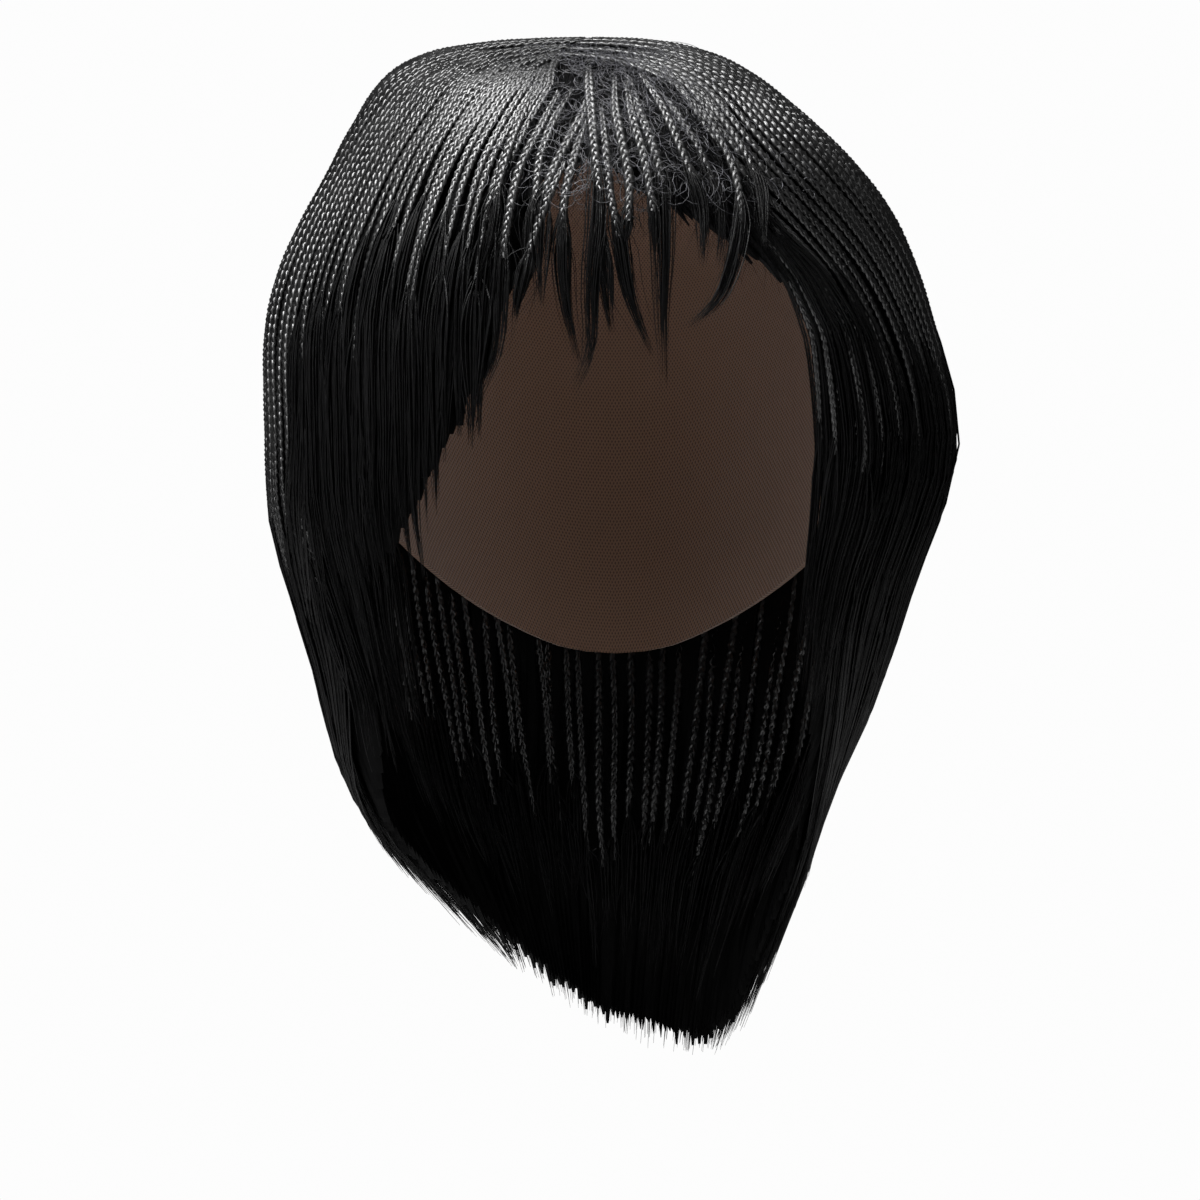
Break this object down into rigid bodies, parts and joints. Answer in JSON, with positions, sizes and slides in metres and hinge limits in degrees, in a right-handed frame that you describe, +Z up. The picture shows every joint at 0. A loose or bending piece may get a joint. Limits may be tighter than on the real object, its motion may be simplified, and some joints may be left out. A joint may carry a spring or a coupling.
{
  "type": "braided wig",
  "caption": "Layered bob wig of thin plaits on a hollow stretch cap, with a forward part, a ragged fringe over an open face and pointed tips at the nape.",
  "frame": {"origin": "inside of the cap's crown, where it rests on the top of the head", "axes": "+Z up along the wearer's head, the face opening looks along -Y, +X to the right of the picture"},
  "size_m": [0.2108, 0.2177, 0.3133],
  "materials": {
    "cap_net": "matt knitted stretch net",
    "braid_crown": "plaited synthetic hair with a soft sheen",
    "braid_front_left": "plaited synthetic hair with a soft sheen",
    "braid_left": "plaited synthetic hair with a soft sheen",
    "braid_back": "plaited synthetic hair with a soft sheen",
    "braid_right": "plaited synthetic hair with a soft sheen",
    "root_mat": "loose fuzzy synthetic hair, matt",
    "fringe_lock": "plaited synthetic hair with a soft sheen"
  },
  "bodies": {
    "root": {"cap": "cap_net", "hair_crown": "braid_crown", "hair_front_left": "braid_front_left", "hair_left": "braid_left", "hair_back": "braid_back", "hair_right": "braid_right", "hair_front_mat": "root_mat", "fringe": "fringe_lock"}
  },
  "joints": []
}
